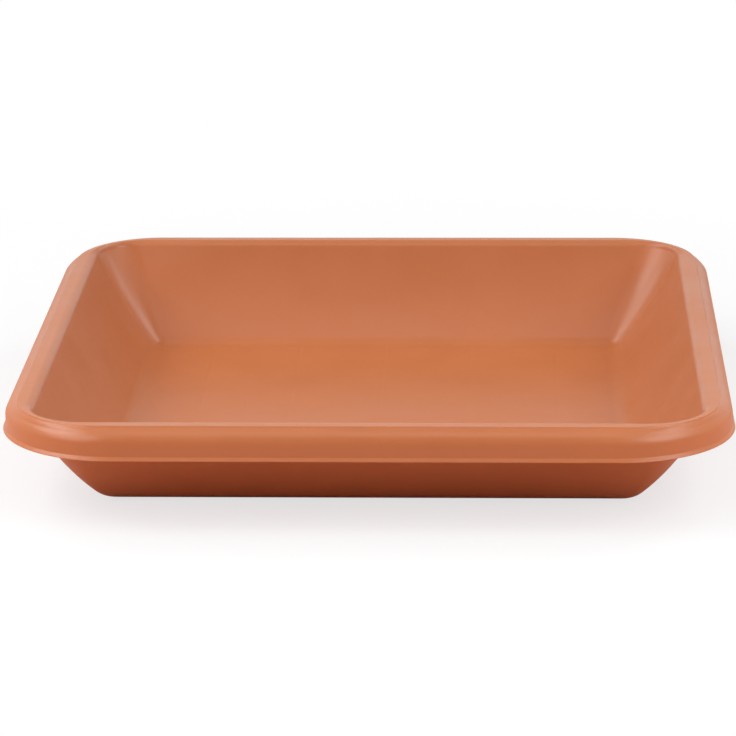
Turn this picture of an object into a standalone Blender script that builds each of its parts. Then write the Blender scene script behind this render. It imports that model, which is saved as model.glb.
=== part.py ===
"""A square plant saucer: one moulding, a shallow tray with leaning walls and a hollow turned-down rim.

The moulding is a loft of rounded rectangles. Its section is drawn once, as points of inset and height:
inset is measured inwards from the outermost edge of the lip, and height upwards from the table.
"""

import math

import bmesh
import bpy

# Overall size, in metres
WIDTH = 0.300  # left to right, over the lip
DEPTH = 0.300  # front to back, over the lip
HEIGHT = 0.0437  # table to the flat top of the rim
WALL = 0.002  # thickness of the moulding

# Corners seen from above
LIP_CORNER_RADIUS = 0.0512
CREST_CORNER_RADIUS = 0.0187  # at the inner edge of the rim
FLOOR_CORNER_RADIUS = 0.003
CORNER_TIGHTENING = 1.4  # power by which the walls' corners tighten under the rim

# Tray
FLOOR_INSET = 0.0428  # lip to where the inner wall would meet the floor
WALL_BOW = 0.002  # how far the wall bows outwards from a straight line
FLOOR_EASE = 0.005  # reach of the rounding between wall and floor, along each of them
BASE_EASE = 0.0065  # the same between the outer wall and the base

# Rim
RIM_WIDTH = 0.0145  # lip to the top of the inner wall
CREST_RADIUS = 0.0045  # between the inner wall and the flat top
CREST_TURN = 62  # how far that rounding turns, in degrees
ROLL_WIDTH = 0.0054  # skirt to the flat top
SKIRT_DROP = 0.0106  # flat top to the upright skirt
RIM_DROP = 0.0137  # flat top to the underside of the lip
LIP_FLARE = 0.0009  # how far the lip stands out from the skirt
LIP_SWEEP = 0.0016  # height over which the skirt sweeps out to the lip
LIP_LAND = 0.0006  # upright outer face of the lip

# Underside
FOOT_WIDTH = 0.010  # flat band that the saucer stands on
BASE_RECESS = 0.0005  # how far the middle of the base is raised off the table
GATE_RADIUS = 0.0016  # stub where the moulding was filled, at the middle of the base
GATE_TIP_RADIUS = 0.0013
GATE_HEIGHT = 0.0003

# Facets
CORNER_STEPS = 8
WALL_STEPS = 4
EASE_STEPS = 4
ROLL_STEPS = 8
EDGE_STEPS = 3
GATE_SIDES = 16

# Finish
TERRACOTTA = (0.53, 0.14, 0.043, 1.0)
ROUGHNESS = 0.42
SMOOTH_ANGLE = math.radians(35)

OBJECT_NAME = "plant_saucer"
TRAY_NAME = "saucer_tray"


def arc(centre, radii, start, end, steps):
    """Points on a round stretch of the section, from the start angle to the end angle in degrees."""
    inset, height = centre
    across, up = radii
    turns = [math.radians(start + (end - start) * i / steps) for i in range(steps + 1)]
    return [(inset + across * math.cos(t), height + up * math.sin(t)) for t in turns]


def eased(start, corner, end):
    """Points of a smooth bend between two stretches that would meet at the corner, without its ends."""
    points = []
    for step in range(1, EASE_STEPS):
        t = step / EASE_STEPS
        first, middle, last = (1 - t) ** 2, 2 * t * (1 - t), t ** 2
        inset = first * start[0] + middle * corner[0] + last * end[0]
        height = first * start[1] + middle * corner[1] + last * end[1]
        points.append((inset, height))
    return points


def crest_centre():
    """Middle of the rounding between the inner wall and the flat top of the rim."""
    return RIM_WIDTH - CREST_RADIUS * math.sin(math.radians(CREST_TURN)), HEIGHT - CREST_RADIUS


def wall_top():
    return RIM_WIDTH, crest_centre()[1] + CREST_RADIUS * math.cos(math.radians(CREST_TURN))


def wall_circle():
    """Centre and radius of the bowed inner wall, from the rounding at its top to the floor."""
    top_inset, top_height = wall_top()
    run = FLOOR_INSET - top_inset
    fall = top_height - WALL
    chord = math.hypot(run, fall)
    radius = (chord ** 2 / 4 + WALL_BOW ** 2) / (2 * WALL_BOW)
    reach = (radius - WALL_BOW) / chord
    centre = ((top_inset + FLOOR_INSET) / 2 + reach * fall, (top_height + WALL) / 2 + reach * run)
    return centre, radius


def wall_angle(radius, height):
    """Angle in degrees, about the centre of the wall's circle, of its point at a height."""
    return 180 + math.degrees(math.asin((wall_circle()[0][1] - height) / radius))


def wall_stretch(radius, floor, ease):
    """The wall from its top down to a level face and the bend into that face, ending on the face."""
    centre, inner_radius = wall_circle()
    top = wall_angle(inner_radius, wall_top()[1])
    bottom = wall_angle(radius, floor)
    radii = (radius, radius)
    stretch = arc(centre, radii, top, bottom - math.degrees(ease / radius), WALL_STEPS)
    corner = arc(centre, radii, bottom, bottom, 1)[0]
    landing = (corner[0] + ease, floor)
    return stretch + eased(stretch[-1], corner, landing) + [landing]


def roll_centre():
    """Middle of the rim's roll, level with the top of the skirt and under the edge of the flat top."""
    return LIP_FLARE + ROLL_WIDTH, HEIGHT - SKIRT_DROP


def tray_face():
    """Section of the inside of the tray, from the floor up to the flat top of the rim."""
    wall = wall_stretch(wall_circle()[1], WALL, FLOOR_EASE)
    crest = arc(crest_centre(), (CREST_RADIUS, CREST_RADIUS), 90 - CREST_TURN, 90, EDGE_STEPS)
    return wall[::-1] + crest[1:]


def rim_face():
    """Section of the outside of the rim, from the flat top out over the roll and down to the lip."""
    roll = arc(roll_centre(), (ROLL_WIDTH, SKIRT_DROP), 90, 180, ROLL_STEPS)
    lip_foot = HEIGHT - RIM_DROP
    cove = arc((0.0, lip_foot + LIP_LAND + LIP_SWEEP), (LIP_FLARE, LIP_SWEEP), 0, -90, EDGE_STEPS)
    return roll + cove + [(0.0, lip_foot)]


def rim_channel():
    """Section of the hollow under the rim, from the lip up and across to the top of the outer wall."""
    roll = arc(roll_centre(), (ROLL_WIDTH - WALL, SKIRT_DROP - WALL), 180, 90, EDGE_STEPS)
    inner_radius = CREST_RADIUS - WALL
    crest = arc(crest_centre(), (inner_radius, inner_radius), 90, 90 - CREST_TURN, EDGE_STEPS)
    return [(LIP_FLARE + WALL, HEIGHT - RIM_DROP), *roll, *crest[:-1]]


def base_face():
    """Section of the underside, from the outer wall under the rim to the raised middle of the base."""
    wall = wall_stretch(wall_circle()[1] + WALL, 0.0, BASE_EASE)
    recess_inset = wall[-1][0] + FOOT_WIDTH
    return wall + [(recess_inset, 0.0), (recess_inset + BASE_RECESS, BASE_RECESS)]


def corner_radius(inset):
    """Radius of the outline's corners: even around the skirt, less at the crest, tight at the floor."""
    skirt_inset = LIP_FLARE + WALL
    skirt_radius = LIP_CORNER_RADIUS - skirt_inset
    if inset <= skirt_inset:
        return LIP_CORNER_RADIUS - inset
    if inset <= RIM_WIDTH:
        share = (inset - skirt_inset) / (RIM_WIDTH - skirt_inset)
        return skirt_radius + (CREST_CORNER_RADIUS - skirt_radius) * share
    left = max(1.0 - (inset - RIM_WIDTH) / (FLOOR_INSET - RIM_WIDTH), 0.0)
    extra = CREST_CORNER_RADIUS - FLOOR_CORNER_RADIUS
    return FLOOR_CORNER_RADIUS + extra * left ** CORNER_TIGHTENING


def outline(inset, height):
    """The rounded rectangle at one point of the section, counter-clockwise from the right-hand side."""
    radius = corner_radius(inset)
    reach_x = WIDTH / 2 - inset - radius
    reach_y = DEPTH / 2 - inset - radius
    points = []
    for quarter, (side_x, side_y) in enumerate(((1, 1), (-1, 1), (-1, -1), (1, -1))):
        for step in range(CORNER_STEPS + 1):
            turn = math.radians(90) * (quarter + step / CORNER_STEPS)
            x = side_x * reach_x + radius * math.cos(turn)
            y = side_y * reach_y + radius * math.sin(turn)
            points.append((x, y, height))
    return points


def new_object(name, bm):
    mesh = bpy.data.meshes.new(name)
    bm.to_mesh(mesh)
    bm.free()
    return bpy.data.objects.new(name, mesh)


def loft(name, outlines):
    """A closed body through the outlines, with a flat face across the first and the last."""
    bm = bmesh.new()
    loops = [[bm.verts.new(point) for point in points] for points in outlines]
    for here, after in zip(loops, loops[1:]):
        for i, start in enumerate(here):
            end = (i + 1) % len(here)
            bm.faces.new((start, here[end], after[end], after[i]))
    for cap in (loops[0], loops[-1]):
        bm.faces.new(cap)
    bmesh.ops.recalc_face_normals(bm, faces=bm.faces)
    return new_object(name, bm)


def gate_mark():
    """The small stub that is left where the moulding was filled, sunk into the base to join it."""
    bm = bmesh.new()
    depth = GATE_HEIGHT + WALL / 2
    bmesh.ops.create_cone(
        bm, cap_ends=True, segments=GATE_SIDES, radius1=GATE_TIP_RADIUS, radius2=GATE_RADIUS, depth=depth
    )
    stub = new_object("gate_mark", bm)
    stub.location.z = BASE_RECESS - GATE_HEIGHT + depth / 2
    return stub


def terracotta_plastic():
    material = bpy.data.materials.new("terracotta_plastic")
    material.use_nodes = True
    shader = material.node_tree.nodes["Principled BSDF"]
    shader.inputs["Base Color"].default_value = TERRACOTTA
    shader.inputs["Roughness"].default_value = ROUGHNESS
    shader.inputs["Metallic"].default_value = 0.0
    material.diffuse_color = TERRACOTTA
    return material


def saucer_tray(stub):
    section = tray_face() + rim_face() + rim_channel() + base_face()
    tray = loft(TRAY_NAME, [outline(inset, height) for inset, height in section])
    join = tray.modifiers.new(stub.name, "BOOLEAN")
    join.operation = "UNION"
    join.object = stub
    tray.data.shade_smooth()
    tray.data.set_sharp_from_angle(angle=SMOOTH_ANGLE)
    tray.data.materials.append(terracotta_plastic())
    return tray


def collection(name, member):
    made = bpy.data.collections.new(name)
    bpy.context.scene.collection.children.link(made)
    made.objects.link(member)


def main():
    for old in list(bpy.data.objects):
        bpy.data.objects.remove(old)
    stub = gate_mark()
    stub.hide_render = True
    stub.display_type = "WIRE"
    collection("cutters", stub)
    collection(OBJECT_NAME, saucer_tray(stub))


main()
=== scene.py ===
"""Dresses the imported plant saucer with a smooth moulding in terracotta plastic, on a lit pale floor."""

import math

import bmesh
import bpy
from bpy.props import FloatProperty, FloatVectorProperty, IntProperty, PointerProperty
from bpy.types import Operator, Panel, PropertyGroup
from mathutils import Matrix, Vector


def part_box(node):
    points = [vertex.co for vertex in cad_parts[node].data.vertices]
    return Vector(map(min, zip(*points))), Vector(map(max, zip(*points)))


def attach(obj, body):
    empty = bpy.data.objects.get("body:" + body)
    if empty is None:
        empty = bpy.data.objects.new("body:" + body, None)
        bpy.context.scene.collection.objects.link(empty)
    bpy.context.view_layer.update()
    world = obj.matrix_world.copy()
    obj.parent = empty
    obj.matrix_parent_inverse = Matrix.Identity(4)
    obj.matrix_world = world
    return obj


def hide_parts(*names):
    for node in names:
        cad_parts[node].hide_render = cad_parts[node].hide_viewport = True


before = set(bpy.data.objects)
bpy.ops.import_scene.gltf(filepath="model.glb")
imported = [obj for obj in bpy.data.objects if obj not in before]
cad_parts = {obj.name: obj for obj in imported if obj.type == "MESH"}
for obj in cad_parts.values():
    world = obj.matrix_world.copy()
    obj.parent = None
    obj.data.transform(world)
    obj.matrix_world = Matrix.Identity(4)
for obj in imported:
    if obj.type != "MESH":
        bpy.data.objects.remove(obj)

bl_info = {
    "name": "Plant Saucer",
    "version": (1, 0, 0),
    "blender": (4, 5, 0),
    "location": "View3D > Sidebar > Saucer",
    "description": "Builds a square plant saucer in moulded plastic, and the stage it is shown on",
    "category": "Object",
}

NODE = "saucer_tray"
SLOT = "terracotta_plastic"
LOW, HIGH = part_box(NODE)
QUARTER = math.pi / 2
LAMP_SIDES = ("top", "left", "right", "back_left", "back_right", "front_left", "front_right")
WHITE = (1.0, 1.0, 1.0, 1.0)
FULL_WEIGHT = 100  # makes the largest faces decide the shading
LEVEL_TOLERANCE = 0.0003  # height within which a spot counts as floor, in metres

# How fine each noise is
CLOUD_DETAIL = 4.0
SPECK_DETAIL = 2.0
STREAK_DETAIL = 3.0
GRAIN_DETAIL = 3.0
RIPPLE_DETAIL = 2.0
BREAK_DETAIL = 2.0

# Noise levels at which each effect starts and is full, and its strength at both
PALE_CLOUDS = (0.45, 0.75, 0.0, 0.4)
PALE_STREAKS = (0.5, 0.75, 0.0, 0.3)
DEEP_CLOUDS = (0.55, 0.25, 0.0, 0.4)
DEEP_SPECKS = (0.42, 0.3, 0.0, 0.4)
LINE_BREAKS = (0.35, 0.65, 0.2, 1.0)
ROUGH_CLOUDS = (0.3, 0.7)


def length(name, description, default):
    """A size in metres."""
    return FloatProperty(
        name=name, description=description, default=default, min=0.0, unit="LENGTH", precision=5
    )


def angle(name, description, degrees):
    return FloatProperty(name=name, description=description, default=math.radians(degrees), subtype="ANGLE")


def count(name, description, default):
    return IntProperty(name=name, description=description, default=default, min=1)


def colour(name, description, default):
    return FloatVectorProperty(
        name=name, description=description, default=default, size=3, min=0.0, max=1.0, subtype="COLOR"
    )


def factor(name, description, default):
    return FloatProperty(
        name=name, description=description, default=default, min=0.0, max=1.0, subtype="FACTOR"
    )


def number(name, description, default):
    return FloatProperty(name=name, description=description, default=default, min=0.0)


def power(name, description, default):
    return FloatProperty(name=name, description=description, default=default, min=0.0, unit="POWER")


def place(name, description, default):
    return FloatVectorProperty(
        name=name, description=description, default=default, subtype="TRANSLATION", unit="LENGTH"
    )


class SaucerSizes(PropertyGroup):
    """Sizes of the moulding. Insets are measured inwards from the outermost edge of the lip."""

    width: length("Width", "Left to right, over the lip", HIGH.x - LOW.x)
    depth: length("Depth", "Front to back, over the lip", HIGH.y - LOW.y)
    height: length("Height", "Table to the flat top of the rim", HIGH.z - LOW.z)
    wall: length("Wall", "Thickness of the moulding", 0.002)
    lip_corner: length("Lip corner", "Corner radius of the lip from above", 0.0487)
    crest_corner: length("Crest corner", "Corner radius of the rim's inner edge from above", 0.0187)
    floor_corner: length("Floor corner", "Corner radius of the floor from above", 0.003)
    inner_tightening: number("Inner tightening", "Power by which the inner wall's corners tighten", 0.65)
    outer_tightening: number("Outer tightening", "Power by which the outer wall's corners tighten", 1.4)
    floor_inset: length("Floor inset", "Lip to where the inner wall would meet the floor", 0.0428)
    wall_bow: length("Wall bow", "How far the wall bows outwards from a straight line", 0.002)
    floor_ease: length("Floor ease", "Reach of the rounding between wall and floor", 0.005)
    base_ease: length("Base ease", "Reach of the rounding between outer wall and base", 0.0065)
    rim_width: length("Rim width", "Lip to the top of the inner wall", 0.0145)
    crest_radius: length("Crest radius", "Rounding between the inner wall and the flat top", 0.0045)
    crest_turn: angle("Crest turn", "How far that rounding turns", 62.0)
    step_drop: length("Step drop", "Height of the small step outside the flat top", 0.0006)
    step_run: length("Step run", "Width of that step", 0.0005)
    roll_width: length("Roll width", "Skirt to the flat top", 0.0056)
    roll_start: angle("Roll start", "How far the roll has already turned at the step", 32.0)
    skirt_drop: length("Skirt drop", "Flat top to the upright skirt", 0.0067)
    rim_drop: length("Rim drop", "Flat top to the underside of the lip", 0.0129)
    lip_flare: length("Lip flare", "How far the lip stands out from the skirt", 0.0011)
    lip_slope: length("Lip slope", "Height over which the skirt slopes out to the lip", 0.0012)
    lip_land: length("Lip land", "Upright outer face of the lip", 0.0004)
    edge_radius: length("Edge radius", "Softness of the small moulded edges", 0.0003)
    sharp_edge: angle("Sharp edge", "Turn from which an edge is softened", 15.0)
    foot_width: length("Foot width", "Flat band that the saucer stands on", 0.010)
    base_recess: length("Base recess", "Rise of the middle of the base", 0.0005)
    flat_margin: length("Flat margin", "Strip around floor and base that keeps their shading flat", 0.004)
    gate_radius: length("Gate radius", "Stub where the moulding was filled", 0.0016)
    gate_tip: length("Gate tip", "Radius of the end of that stub", 0.0013)
    gate_height: length("Gate height", "Height of that stub", 0.0003)
    dimple_radius: length("Dimple radius", "Dimple where the stub was snapped off", 0.0006)
    dimple_depth: length("Dimple depth", "Depth of that dimple", 0.0001)
    corner_steps: count("Corner steps", "Faces around each corner", 24)
    curve_steps: count("Curve steps", "Faces over each curve of the section", 12)
    edge_steps: count("Edge steps", "Faces over each softened edge", 4)
    gate_sides: count("Gate sides", "Faces around the stub", 32)


class SaucerFinish(PropertyGroup):
    """The terracotta plastic."""

    terracotta: colour("Terracotta", "Main colour of the plastic", (0.53, 0.166, 0.058))
    pale: colour("Pale pigment", "Lighter streaks in the plastic", (0.55, 0.175, 0.062))
    deep: colour("Deep pigment", "Darker streaks in the plastic", (0.51, 0.157, 0.054))
    ior: number("IOR", "Refraction of the plastic, which sets its gloss", 1.49)
    roughness: factor("Roughness", "Mean roughness of the moulded skin", 0.34)
    roughness_spread: factor("Roughness spread", "How much the roughness changes", 0.08)
    mottle_scale: number("Mottle scale", "Clouds of pigment per metre", 30.0)
    speck_scale: number("Speck scale", "Specks of pigment per metre", 900.0)
    streak_spread: number("Streak spread", "Flow streaks per radian around the gate", 9.0)
    streak_scale: number("Streak scale", "Changes along a flow streak per metre", 14.0)
    grain_scale: number("Grain scale", "Grains of the moulded skin per metre", 1500.0)
    grain_depth: length("Grain depth", "Depth of the moulded grain", 0.00003)
    ripple_scale: number("Ripple scale", "Slow ripples of the skin per metre", 60.0)
    ripple_depth: length("Ripple depth", "Depth of the slow ripple in the skin", 0.0002)
    sink_pitch: length("Sink pitch", "Distance between the faint lines along the floor", 0.0395)
    sink_width: length("Sink width", "Half width of a faint line", 0.0016)
    sink_depth: length("Sink depth", "Depth of a faint line", 0.00008)
    sink_breaks: number("Sink breaks", "Breaks in the faint lines per metre", 24.0)


class StageSettings(PropertyGroup):
    """Floor, lights and camera."""

    floor_colour: colour("Floor", "Colour of the floor, as it lights the saucer", (0.85, 0.58, 0.50))
    floor_white: colour("Floor white", "Colour of the floor where the camera sees it", (0.97, 0.97, 0.97))
    floor_lift: factor("Floor lift", "How far the camera's floor is lifted to white at the saucer", 0.70)
    shadow_reach: length("Shadow reach", "Distance out to which the floor keeps its full shadow", 0.22)
    white_reach: length("White reach", "Distance from which the floor is all white", 0.42)
    floor_reach: length("Floor reach", "Half width of the floor", 5.0)
    floor_gap: length("Floor gap", "How far the floor lies under the base", 0.0002)
    dim_level: number("Dim level", "How bright reflections show the room above the backdrop", 0.35)
    backdrop_top: factor("Backdrop top", "Sine of the height at which the backdrop has faded out", 0.70)
    backdrop_foot: factor("Backdrop foot", "Sine of the height at which it begins to fade", 0.30)
    backdrop_wrap: factor("Backdrop wrap", "How far it comes round to the front before it has faded", 0.70)
    top_power: power("Top light", "Softbox overhead", 1.96)
    top_place: place("Top place", "Middle of the top softbox", (0.0, -0.32, 1.36))
    top_size: length("Top size", "Width of the top softbox", 0.7)
    left_power: power("Left light", "Softbox above and to the left", 6.9)
    left_place: place("Left place", "Middle of the left softbox", (-0.975, -0.172, 0.99))
    left_size: length("Left size", "Width of the left softbox", 0.7)
    right_power: power("Right light", "Softbox above and to the right", 1.82)
    right_place: place("Right place", "Middle of the right softbox", (0.975, -0.172, 0.99))
    right_size: length("Right size", "Width of the right softbox", 0.7)
    back_left_power: power("Back left light", "Softbox above, behind and to the left", 5.57)
    back_left_place: place("Back left place", "Middle of the back left softbox", (-0.758, 0.636, 0.99))
    back_left_size: length("Back left size", "Width of the back left softbox", 0.7)
    back_right_power: power("Back right light", "Softbox above, behind and to the right", 5.41)
    back_right_place: place("Back right place", "Middle of the back right softbox", (0.758, 0.636, 0.99))
    back_right_size: length("Back right size", "Width of the back right softbox", 0.7)
    front_left_power: power("Front left light", "Near softbox at the front left", 1.6)
    front_left_place: place("Front left place", "Middle of the front left softbox", (-0.45, -0.38, 0.35))
    front_left_size: length("Front left size", "Width of the front left softbox", 0.4)
    front_right_power: power("Front right light", "Near softbox at the front right", 1.95)
    front_right_place: place("Front right place", "Middle of the front right softbox", (0.45, -0.38, 0.35))
    front_right_size: length("Front right size", "Width of the front right softbox", 0.4)
    lens: FloatProperty(name="Lens", description="Focal length", default=175.62, subtype="DISTANCE_CAMERA")
    camera_place: place("Camera place", "Where the camera stands", (0.05866, -1.49926, 0.48998))
    camera_turn: FloatVectorProperty(
        name="Camera turn", description="Which way the camera looks",
        default=(math.radians(72.730), math.radians(0.574), math.radians(2.218)),
        subtype="EULER", unit="ROTATION",
    )


def arc(centre, radii, start, end, steps):
    """Points on a round stretch of the section, from the start angle to the end angle."""
    turns = [start + (end - start) * i / steps for i in range(steps + 1)]
    return [(centre[0] + radii[0] * math.cos(t), centre[1] + radii[1] * math.sin(t)) for t in turns]


def bend(start, corner, end, steps):
    """Points of a smooth bend between two stretches that would meet at the corner."""
    points = []
    for step in range(steps + 1):
        t = step / steps
        first, middle, last = (1 - t) ** 2, 2 * t * (1 - t), t ** 2
        inset = first * start[0] + middle * corner[0] + last * end[0]
        height = first * start[1] + middle * corner[1] + last * end[1]
        points.append((inset, height))
    return points


def toward(point, other, reach):
    """The point that lies a reach along the way to another, or halfway if that is nearer."""
    share = min(reach / math.dist(point, other), 0.5)
    return point[0] + (other[0] - point[0]) * share, point[1] + (other[1] - point[1]) * share


def soften(points, s):
    """The section with each of its sharp corners rounded."""
    rounded = [points[0]]
    for before, point, after in zip(points, points[1:], points[2:]):
        arriving = Vector((point[0] - before[0], point[1] - before[1]))
        leaving = Vector((after[0] - point[0], after[1] - point[1]))
        if arriving.angle(leaving) < s.sharp_edge:
            rounded.append(point)
        else:
            start = toward(point, before, s.edge_radius)
            end = toward(point, after, s.edge_radius)
            rounded += bend(start, point, end, s.edge_steps)
    return rounded + [points[-1]]


def crest_centre(s):
    """Middle of the rounding between the inner wall and the flat top of the rim."""
    return s.rim_width - s.crest_radius * math.sin(s.crest_turn), s.height - s.crest_radius


def wall_top(s):
    return s.rim_width, crest_centre(s)[1] + s.crest_radius * math.cos(s.crest_turn)


def wall_circle(s):
    """Centre and radius of the bowed inner wall, from the rounding at its top to the floor."""
    top_inset, top_height = wall_top(s)
    run = s.floor_inset - top_inset
    fall = top_height - s.wall
    chord = math.hypot(run, fall)
    radius = (chord ** 2 / 4 + s.wall_bow ** 2) / (2 * s.wall_bow)
    reach = (radius - s.wall_bow) / chord
    centre = ((top_inset + s.floor_inset) / 2 + reach * fall, (top_height + s.wall) / 2 + reach * run)
    return centre, radius


def wall_stretch(s, thickness, floor, ease):
    """The wall from its top down to a level face, the bend into that face, and a strip of the face."""
    centre, inner_radius = wall_circle(s)
    radius = inner_radius + thickness
    top = math.pi + math.asin((centre[1] - wall_top(s)[1]) / inner_radius)
    bottom = math.pi + math.asin((centre[1] - floor) / radius)
    stretch = arc(centre, (radius, radius), top, bottom - ease / radius, s.curve_steps)
    corner = (centre[0] + radius * math.cos(bottom), floor)
    landing = (corner[0] + ease, floor)
    return stretch[:-1] + bend(stretch[-1], corner, landing, s.curve_steps)


def outer_roll(s):
    """The outside of the roll, from the foot of the step out and down to the skirt."""
    foot_inset = s.lip_flare + s.roll_width - s.step_run
    across = (foot_inset - s.lip_flare) / (1 - math.sin(s.roll_start))
    up = (s.skirt_drop - s.step_drop) / math.cos(s.roll_start)
    centre = (s.lip_flare + across, s.height - s.skirt_drop)
    return arc(centre, (across, up), QUARTER + s.roll_start, math.pi, 2 * s.curve_steps)


def tray_face(s):
    """The inside of the tray, from a strip of the floor up to the flat top of the rim."""
    wall = wall_stretch(s, 0.0, s.wall, s.floor_ease)
    inset, height = wall[-1]
    radii = (s.crest_radius, s.crest_radius)
    crest = arc(crest_centre(s), radii, QUARTER - s.crest_turn, QUARTER, s.curve_steps)
    return [(inset + s.flat_margin, height)] + wall[::-1] + crest[1:]


def rim_face(s):
    """The edge of the flat top, its step, the roll, the skirt and the lip, outwards and down."""
    lip_foot = s.height - s.rim_drop
    lip_top = lip_foot + s.lip_land
    lip = [(s.lip_flare, lip_top + s.lip_slope), (0.0, lip_top), (0.0, lip_foot)]
    return [(s.lip_flare + s.roll_width, s.height), *outer_roll(s), *lip]


def hollow_face(s):
    """The hollow under the rim, from the lip up and across to the top of the outer wall."""
    roll_radii = (s.roll_width - s.wall, s.skirt_drop - s.wall)
    roll_centre = (s.lip_flare + s.roll_width, s.height - s.skirt_drop)
    roll = arc(roll_centre, roll_radii, math.pi, QUARTER, s.curve_steps)
    crest_radii = (s.crest_radius - s.wall, s.crest_radius - s.wall)
    crest = arc(crest_centre(s), crest_radii, QUARTER, QUARTER - s.crest_turn, s.curve_steps)
    return [(s.lip_flare + s.wall, s.height - s.rim_drop), *roll, *crest[:-1]]


def base_face(s):
    """The outer wall and the base, in to its raised middle."""
    wall = wall_stretch(s, s.wall, 0.0, s.base_ease)
    recess = wall[-1][0] + s.foot_width
    step = recess + s.base_recess
    return wall + [(recess, 0.0), (step, s.base_recess), (step + s.flat_margin, s.base_recess)]


def corner_radius(s, inset, tightening):
    """Radius of the outline's corners: even around the skirt, less at the crest, tight at the floor."""
    skirt_inset = s.lip_flare + s.wall
    skirt_radius = s.lip_corner - skirt_inset
    if inset <= skirt_inset:
        return s.lip_corner - inset
    if inset <= s.rim_width:
        share = (inset - skirt_inset) / (s.rim_width - skirt_inset)
        return skirt_radius + (s.crest_corner - skirt_radius) * share
    left = max(1.0 - (inset - s.rim_width) / (s.floor_inset - s.rim_width), 0.0)
    return s.floor_corner + (s.crest_corner - s.floor_corner) * left ** tightening


def outline(s, point, tightening):
    """The rounded rectangle at one point of the section, counter-clockwise from the right-hand side."""
    inset, height = point
    radius = corner_radius(s, inset, tightening)
    reach_x = s.width / 2 - inset - radius
    reach_y = s.depth / 2 - inset - radius
    points = []
    for quarter, (side_x, side_y) in enumerate(((1, 1), (-1, 1), (-1, -1), (1, -1))):
        for step in range(s.corner_steps + 1):
            turn = QUARTER * (quarter + step / s.corner_steps)
            x = side_x * reach_x + radius * math.cos(turn)
            y = side_y * reach_y + radius * math.sin(turn)
            points.append((x, y, height))
    return points


def loft(bm, outlines):
    """Faces from each outline to the next, with a flat face across the first and the last."""
    loops = [[bm.verts.new(point) for point in points] for points in outlines]
    for here, after in zip(loops, loops[1:]):
        for i, start in enumerate(here):
            end = (i + 1) % len(here)
            bm.faces.new((start, here[end], after[end], after[i]))
    for cap in (loops[0], loops[-1]):
        bm.faces.new(cap)


def gate_stub(bm, s):
    """The small stub at the middle of the base, with a dimple where it was snapped off."""
    tip = s.base_recess - s.gate_height
    rings = (
        (s.gate_radius, s.base_recess + s.wall / 2),
        (s.gate_radius, s.base_recess),
        (s.gate_tip, tip),
        (s.dimple_radius, tip),
        (s.dimple_radius / 2, tip + s.dimple_depth),
    )
    turns = [2 * math.pi * i / s.gate_sides for i in range(s.gate_sides)]
    loft(bm, [[(r * math.cos(t), r * math.sin(t), z) for t in turns] for r, z in rings])


class NodeTree:
    """Short calls for laying out one node tree."""

    def __init__(self, tree):
        self.tree = tree

    def add(self, kind, settings=None, **sockets):
        """A node with its settings, and its input sockets set or linked by name or place."""
        node = self.tree.nodes.new(kind)
        for key, value in (settings or {}).items():
            setattr(node, key, value)
        for key, value in sockets.items():
            self.put(node, key.replace("_", " "), value)
        return node

    def put(self, node, name, value):
        socket = node.inputs[int(name[2:]) if name.startswith("at") else name]
        if isinstance(value, bpy.types.NodeSocket):
            self.tree.links.new(value, socket)
        else:
            socket.default_value = value

    def math(self, operation, first, second=0.0):
        return self.add("ShaderNodeMath", {"operation": operation}, at0=first, at1=second).outputs[0]

    def spread(self, value, low, high, to_low, to_high):
        """A value taken smoothly from one range to another."""
        ends = {"at1": low, "at2": high, "at3": to_low, "at4": to_high}
        smooth = {"interpolation_type": "SMOOTHSTEP"}
        return self.add("ShaderNodeMapRange", smooth, at0=value, **ends).outputs[0]

    def noise(self, vector, scale, detail):
        return self.add("ShaderNodeTexNoise", Vector=vector, Scale=scale, Detail=detail).outputs[0]

    def blend(self, share, first, second):
        return self.add("ShaderNodeMix", {"data_type": "RGBA"}, at0=share, at6=first, at7=second).outputs[2]


def group(name, inputs, outputs):
    """An empty node group with named sockets, as (tree calls, its input sockets, its output node)."""
    tree = bpy.data.node_groups.new(name, "ShaderNodeTree")
    for label, kind in inputs:
        tree.interface.new_socket(label, in_out="INPUT", socket_type=kind)
    for label, kind in outputs:
        tree.interface.new_socket(label, in_out="OUTPUT", socket_type=kind)
    calls = NodeTree(tree)
    return calls, calls.add("NodeGroupInput").outputs, calls.add("NodeGroupOutput")


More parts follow.
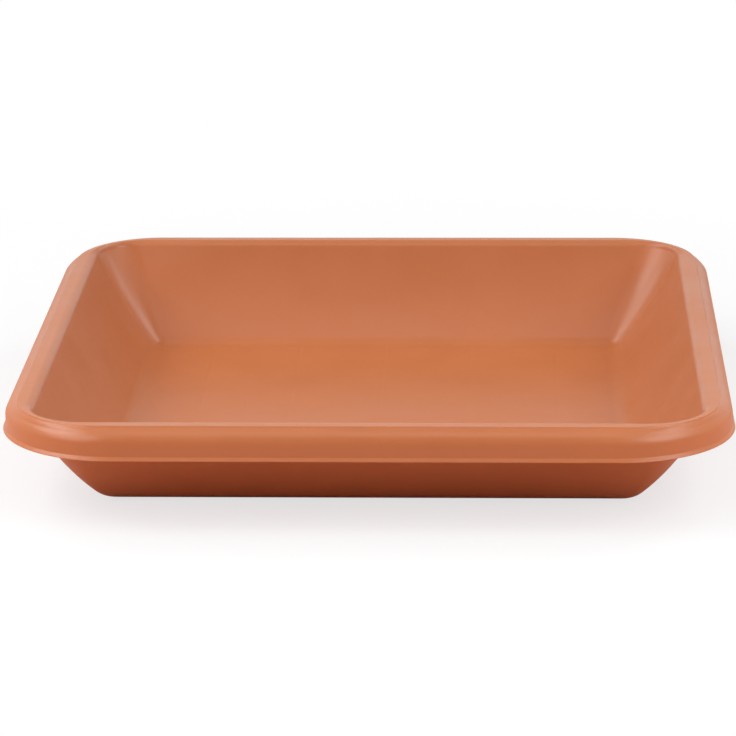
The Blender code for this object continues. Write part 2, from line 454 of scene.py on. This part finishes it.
def pigment_group():
    """Clouds, flow streaks and specks of pigment, as the plastic spread from the gate."""
    calls, given, result = group(
        "Pigment",
        [
            ("Position", "NodeSocketVector"),
            ("Main", "NodeSocketColor"),
            ("Pale", "NodeSocketColor"),
            ("Deep", "NodeSocketColor"),
            ("Mottle Scale", "NodeSocketFloat"),
            ("Speck Scale", "NodeSocketFloat"),
            ("Streak Spread", "NodeSocketFloat"),
            ("Streak Scale", "NodeSocketFloat"),
        ],
        [("Colour", "NodeSocketColor"), ("Clouds", "NodeSocketFloat")],
    )
    clouds = calls.noise(given["Position"], given["Mottle Scale"], CLOUD_DETAIL)
    specks = calls.noise(given["Position"], given["Speck Scale"], SPECK_DETAIL)
    parts = calls.add("ShaderNodeSeparateXYZ", Vector=given["Position"]).outputs
    bearing = calls.math("ARCTAN2", parts[1], parts[0])
    reach = calls.add("ShaderNodeVectorMath", {"operation": "LENGTH"}, at0=given["Position"])
    around = calls.math("MULTIPLY", bearing, given["Streak Spread"])
    along = calls.math("MULTIPLY", reach.outputs["Value"], given["Streak Scale"])
    flow = calls.add("ShaderNodeCombineXYZ", X=around, Y=along).outputs[0]
    streaks = calls.noise(flow, 1.0, STREAK_DETAIL)
    pale_clouds = calls.spread(clouds, *PALE_CLOUDS)
    pale_streaks = calls.spread(streaks, *PALE_STREAKS)
    deep_clouds = calls.spread(clouds, *DEEP_CLOUDS)
    deep_specks = calls.spread(specks, *DEEP_SPECKS)
    paler = calls.blend(calls.math("ADD", pale_clouds, pale_streaks), given["Main"], given["Pale"])
    deeper = calls.blend(calls.math("ADD", deep_clouds, deep_specks), paler, given["Deep"])
    calls.put(result, "Colour", deeper)
    calls.put(result, "Clouds", clouds)
    return calls.tree


def skin_group():
    """The moulded skin: fine spark grain over a slow ripple, as a height in metres."""
    calls, given, result = group(
        "Moulded Skin",
        [
            ("Position", "NodeSocketVector"),
            ("Grain Scale", "NodeSocketFloat"),
            ("Grain Depth", "NodeSocketFloat"),
            ("Ripple Scale", "NodeSocketFloat"),
            ("Ripple Depth", "NodeSocketFloat"),
        ],
        [("Height", "NodeSocketFloat")],
    )
    grain = calls.noise(given["Position"], given["Grain Scale"], GRAIN_DETAIL)
    ripple = calls.noise(given["Position"], given["Ripple Scale"], RIPPLE_DETAIL)
    fine = calls.math("MULTIPLY", grain, given["Grain Depth"])
    slow = calls.math("MULTIPLY", ripple, given["Ripple Depth"])
    calls.put(result, "Height", calls.math("ADD", fine, slow))
    return calls.tree


def sink_group():
    """Faint lines along the floor, front to back, where the plastic drew in as it cooled."""
    calls, given, result = group(
        "Sink Lines",
        [
            ("Position", "NodeSocketVector"),
            ("Pitch", "NodeSocketFloat"),
            ("Half Width", "NodeSocketFloat"),
            ("Depth", "NodeSocketFloat"),
            ("Breaks", "NodeSocketFloat"),
            ("Floor Height", "NodeSocketFloat"),
        ],
        [("Height", "NodeSocketFloat")],
    )
    parts = calls.add("ShaderNodeSeparateXYZ", Vector=given["Position"]).outputs
    near = calls.math("PINGPONG", parts[0], calls.math("MULTIPLY", given["Pitch"], 0.5))
    line = calls.spread(near, 0.0, given["Half Width"], -1.0, 0.0)
    above = calls.math("ABSOLUTE", calls.math("SUBTRACT", parts[2], given["Floor Height"]))
    level = calls.math("LESS_THAN", above, LEVEL_TOLERANCE)
    breaks = calls.noise(given["Position"], given["Breaks"], BREAK_DETAIL)
    broken = calls.spread(breaks, *LINE_BREAKS)
    shown = calls.math("MULTIPLY", calls.math("MULTIPLY", line, level), broken)
    calls.put(result, "Height", calls.math("MULTIPLY", shown, given["Depth"]))
    return calls.tree


def terracotta_plastic(finish, sizes):
    material = bpy.data.materials.new(SLOT)
    material.use_nodes = True
    calls = NodeTree(material.node_tree)
    shader = material.node_tree.nodes["Principled BSDF"]
    where = calls.add("ShaderNodeTexCoord").outputs["Object"]
    pigment = calls.add(
        "ShaderNodeGroup", {"node_tree": pigment_group()},
        Position=where, Main=(*finish.terracotta, 1.0), Pale=(*finish.pale, 1.0), Deep=(*finish.deep, 1.0),
        Mottle_Scale=finish.mottle_scale, Speck_Scale=finish.speck_scale,
        Streak_Spread=finish.streak_spread, Streak_Scale=finish.streak_scale,
    )
    skin = calls.add(
        "ShaderNodeGroup", {"node_tree": skin_group()},
        Position=where, Grain_Scale=finish.grain_scale, Grain_Depth=finish.grain_depth,
        Ripple_Scale=finish.ripple_scale, Ripple_Depth=finish.ripple_depth,
    )
    sink = calls.add(
        "ShaderNodeGroup", {"node_tree": sink_group()},
        Position=where, Pitch=finish.sink_pitch, Half_Width=finish.sink_width, Depth=finish.sink_depth,
        Breaks=finish.sink_breaks, Floor_Height=sizes.wall,
    )
    height = calls.math("ADD", skin.outputs["Height"], sink.outputs["Height"])
    bump = calls.add("ShaderNodeBump", Strength=1.0, Distance=1.0, Height=height)
    low = finish.roughness - finish.roughness_spread / 2
    high = finish.roughness + finish.roughness_spread / 2
    calls.put(shader, "Base Color", pigment.outputs["Colour"])
    calls.put(shader, "Roughness", calls.spread(pigment.outputs["Clouds"], *ROUGH_CLOUDS, low, high))
    calls.put(shader, "Normal", bump.outputs["Normal"])
    calls.put(shader, "IOR", finish.ior)
    return material


class SAUCER_OT_tray(Operator):
    """Make the saucer as one smooth moulding, in place of the plain node"""

    bl_idname = "saucer.tray"
    bl_label = "Saucer Tray"

    def execute(self, context):
        sizes = context.scene.saucer_sizes
        inside = soften(tray_face(sizes), sizes)
        outside = soften([inside[-1], *rim_face(sizes), *hollow_face(sizes), *base_face(sizes)], sizes)
        outlines = [outline(sizes, point, sizes.inner_tightening) for point in inside]
        outlines += [outline(sizes, point, sizes.outer_tightening) for point in outside[1:]]
        bm = bmesh.new()
        loft(bm, outlines)
        gate_stub(bm, sizes)
        bmesh.ops.recalc_face_normals(bm, faces=bm.faces)
        mesh = bpy.data.meshes.new("saucer")
        bm.to_mesh(mesh)
        bm.free()
        mesh.shade_smooth()
        mesh.materials.append(terracotta_plastic(context.scene.saucer_finish, sizes))
        tray = bpy.data.objects.new("saucer", mesh)
        context.scene.collection.objects.link(tray)
        tray.modifiers.new("Even shading", "WEIGHTED_NORMAL").weight = FULL_WEIGHT
        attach(tray, "root")
        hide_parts(NODE)
        return {"FINISHED"}


def pale_floor(stage):
    """A lit floor that keeps the saucer's shadow, and is white to the camera away from it."""
    material = bpy.data.materials.new("pale_floor")
    material.use_nodes = True
    tree = material.node_tree
    tree.nodes.clear()
    calls = NodeTree(tree)
    seen = calls.add("ShaderNodeLightPath").outputs["Is Camera Ray"]
    where = calls.add("ShaderNodeTexCoord").outputs["Object"]
    away = calls.add("ShaderNodeVectorMath", {"operation": "LENGTH"}, at0=where).outputs["Value"]
    lift = calls.spread(away, stage.shadow_reach, stage.white_reach, stage.floor_lift, 1.0)
    tint = calls.blend(seen, (*stage.floor_colour, 1.0), (*stage.floor_white, 1.0))
    plain = calls.add("ShaderNodeBsdfDiffuse", Color=tint).outputs[0]
    white = calls.add("ShaderNodeEmission", Color=WHITE, Strength=1.0).outputs[0]
    share = calls.math("MULTIPLY", seen, lift)
    mixed = calls.add("ShaderNodeMixShader", at0=share, at1=plain, at2=white).outputs[0]
    calls.add("ShaderNodeOutputMaterial", Surface=mixed)
    return material


def room(scene, stage):
    """White to look at, and a white backdrop under a dimmer room in reflections."""
    world = bpy.data.worlds.new("room")
    world.use_nodes = True
    calls = NodeTree(world.node_tree)
    path = calls.add("ShaderNodeLightPath").outputs
    towards = calls.add("ShaderNodeTexCoord").outputs["Generated"]
    parts = calls.add("ShaderNodeSeparateXYZ", Vector=towards).outputs
    behind = calls.spread(parts["Y"], -stage.backdrop_wrap, 0.0, 0.0, 1.0)
    low = calls.spread(parts["Z"], stage.backdrop_foot, stage.backdrop_top, 1.0, 0.0)
    backdrop = calls.math("MAXIMUM", calls.math("MULTIPLY", behind, low), stage.dim_level)
    gloss = calls.math("MULTIPLY", path["Is Glossy Ray"], backdrop)
    seen = calls.math("MAXIMUM", path["Is Camera Ray"], gloss)
    background = world.node_tree.nodes["Background"]
    calls.put(background, "Color", WHITE)
    calls.put(background, "Strength", seen)
    scene.world = world


def softbox(scene, stage, side):
    """A soft lamp that faces the saucer, from its place, size and power in the settings."""
    lamp = bpy.data.lights.new(side + "_softbox", "AREA")
    lamp.size = getattr(stage, side + "_size")
    lamp.energy = getattr(stage, side + "_power")
    where = Vector(getattr(stage, side + "_place"))
    box = bpy.data.objects.new(side + "_softbox", lamp)
    box.location = where
    box.rotation_euler = (-where).to_track_quat("-Z", "Y").to_euler()
    scene.collection.objects.link(box)


class SAUCER_OT_stage(Operator):
    """Make the floor, the lights and the camera"""

    bl_idname = "saucer.stage"
    bl_label = "Saucer Stage"

    def execute(self, context):
        scene = context.scene
        stage = scene.saucer_stage
        reach = stage.floor_reach
        mesh = bpy.data.meshes.new("floor")
        corners = [(-reach, -reach, 0.0), (reach, -reach, 0.0), (reach, reach, 0.0), (-reach, reach, 0.0)]
        mesh.from_pydata(corners, [], [(0, 1, 2, 3)])
        mesh.materials.append(pale_floor(stage))
        floor = bpy.data.objects.new("floor", mesh)
        floor.location.z = -stage.floor_gap
        scene.collection.objects.link(floor)
        room(scene, stage)
        for side in LAMP_SIDES:
            softbox(scene, stage, side)
        camera = bpy.data.objects.new("camera", bpy.data.cameras.new("camera"))
        camera.data.lens = stage.lens
        camera.location = stage.camera_place
        camera.rotation_euler = stage.camera_turn
        scene.collection.objects.link(camera)
        scene.camera = camera
        scene.view_settings.view_transform = "Standard"
        return {"FINISHED"}


class SAUCER_PT_sidebar(Panel):
    """Lists the saucer's pieces and settings"""

    bl_label = "Plant Saucer"
    bl_idname = "SAUCER_PT_sidebar"
    bl_space_type = "VIEW_3D"
    bl_region_type = "UI"
    bl_category = "Saucer"

    def draw(self, context):
        scene = context.scene
        self.list_piece(SAUCER_OT_tray, scene.saucer_sizes, scene.saucer_finish)
        self.list_piece(SAUCER_OT_stage, scene.saucer_stage)

    def list_piece(self, operator, *settings):
        self.layout.operator(operator.bl_idname)
        for values in settings:
            for name in values.__annotations__:
                self.layout.prop(values, name)


CLASSES = (SaucerSizes, SaucerFinish, StageSettings, SAUCER_OT_tray, SAUCER_OT_stage, SAUCER_PT_sidebar)


def register():
    for cls in CLASSES:
        bpy.utils.register_class(cls)
    bpy.types.Scene.saucer_sizes = PointerProperty(type=SaucerSizes)
    bpy.types.Scene.saucer_finish = PointerProperty(type=SaucerFinish)
    bpy.types.Scene.saucer_stage = PointerProperty(type=StageSettings)


def unregister():
    del bpy.types.Scene.saucer_stage
    del bpy.types.Scene.saucer_finish
    del bpy.types.Scene.saucer_sizes
    for cls in reversed(CLASSES):
        bpy.utils.unregister_class(cls)


def main():
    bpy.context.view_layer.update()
    register()
    bpy.ops.saucer.tray()
    bpy.ops.saucer.stage()


if __name__ == "__main__":
    main()
